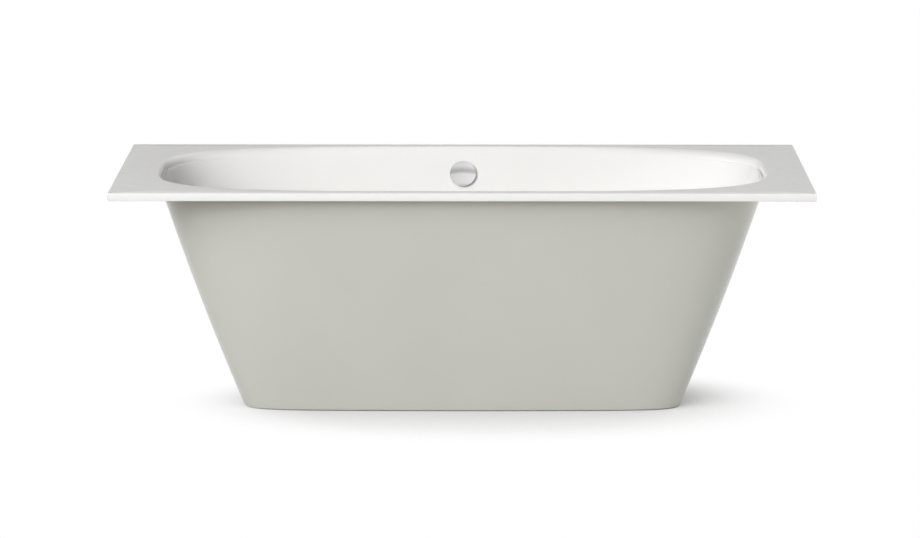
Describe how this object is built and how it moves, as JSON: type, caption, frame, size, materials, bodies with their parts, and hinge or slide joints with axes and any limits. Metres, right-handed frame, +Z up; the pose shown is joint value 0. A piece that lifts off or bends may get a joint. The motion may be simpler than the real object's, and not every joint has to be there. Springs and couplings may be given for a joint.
{
  "type": "built-in bathtub",
  "caption": "White bath with a thin flat rectangular rim, oval basin and tapered grey-green skirt, with a turn-knob overflow and lifting plug, for building into a deck.",
  "frame": {"origin": "on the floor, under the middle of the rim", "axes": "+X to the right along the bath, +Y to the back, where the overflow is, +Z up; the front, -Y, faces the camera"},
  "size_m": [1.8, 0.8, 0.595],
  "materials": {
    "sanitary_acrylic": "polished white sanitary acrylic",
    "skirt_lacquer": "semi-gloss grey-green lacquer on the plastic skirt",
    "board_wood": "bare chipboard",
    "galvanised_steel": "galvanised sheet",
    "zinc_screws": "zinc plated",
    "pad_plastic": "moulded, matt",
    "polished_chrome": "polished",
    "brass_metal": "turned, bare",
    "seal_rubber": "matt",
    "dark_plastic": "moulded, matt",
    "pipe_plastic": "moulded, matt white",
    "cable_sheath": "smooth sheath"
  },
  "bodies": {
    "bath": {"bath_shell": "sanitary_acrylic", "outer_skirt": "skirt_lacquer", "rim_board_front": "board_wood", "rim_board_back": "board_wood", "rim_board_left": "board_wood", "rim_board_right": "board_wood", "base_board": "board_wood", "leg_rail_left": "galvanised_steel", "leg_rail_right": "galvanised_steel", "rail_screws": "zinc_screws", "lock_nuts": "zinc_screws", "skirt_brackets": "galvanised_steel", "bracket_screws": "zinc_screws", "overflow_faceplate": "galvanised_steel", "overflow_screws": "zinc_screws", "overflow_gasket": "seal_rubber", "overflow_body": "dark_plastic", "overflow_pipe": "pipe_plastic", "overflow_bend": "pipe_plastic", "pipe_nut_top": "dark_plastic", "pipe_nut_bottom": "dark_plastic", "operating_cable": "cable_sheath", "cable_clips": "pipe_plastic", "waste_flange": "polished_chrome", "waste_seal_top": "seal_rubber", "waste_seal_bottom": "seal_rubber", "waste_body": "dark_plastic", "lifter_pin": "zinc_screws", "trap_nut": "pipe_plastic", "trap_seal": "seal_rubber", "trap_cup": "pipe_plastic", "outlet_nut": "pipe_plastic", "outlet_elbow": "pipe_plastic"},
    "knob": {"overflow_knob": "polished_chrome", "knob_spindle": "brass_metal"},
    "plug": {"plug_cap": "polished_chrome", "plug_stem": "brass_metal", "plug_seal": "seal_rubber"},
    "lift_arm": {"lifter": "pipe_plastic"},
    "foot_front_left": {"foot_bolt_front_left": "zinc_screws", "foot_pad_front_left": "pad_plastic"},
    "foot_front_right": {"foot_bolt_front_right": "zinc_screws", "foot_pad_front_right": "pad_plastic"},
    "foot_back_left": {"foot_bolt_back_left": "zinc_screws", "foot_pad_back_left": "pad_plastic"},
    "foot_back_right": {"foot_bolt_back_right": "zinc_screws", "foot_pad_back_right": "pad_plastic"}
  },
  "joints": [
    {"name": "knob_turn", "type": "hinge", "parent": "bath", "child": "knob", "pos_m": [0, 0.32625, 0.525], "axis": [0, 0.9128, -0.4085], "range_deg": [0, 90]},
    {"name": "plug_lift", "type": "slide", "parent": "bath", "child": "plug", "axis": [0, 0, 1], "range_m": [0, 0.01]},
    {"name": "arm_swing", "type": "hinge", "parent": "bath", "child": "lift_arm", "pos_m": [0.02, 0, 0.118], "axis": [0, 1, 0], "range_deg": [0, 28.96]},
    {"name": "foot_extend_front_left", "type": "slide", "parent": "bath", "child": "foot_front_left", "axis": [0, 0, -1], "range_m": [0, 0.02]},
    {"name": "foot_extend_front_right", "type": "slide", "parent": "bath", "child": "foot_front_right", "axis": [0, 0, -1], "range_m": [0, 0.02]},
    {"name": "foot_extend_back_left", "type": "slide", "parent": "bath", "child": "foot_back_left", "axis": [0, 0, -1], "range_m": [0, 0.02]},
    {"name": "foot_extend_back_right", "type": "slide", "parent": "bath", "child": "foot_back_right", "axis": [0, 0, -1], "range_m": [0, 0.02]}
  ],
  "couplings": [
    {"joint": "plug_lift", "follows": "knob_turn", "m_per_rad": 0.006366},
    {"joint": "arm_swing", "follows": "knob_turn", "ratio": 0.3217}
  ]
}
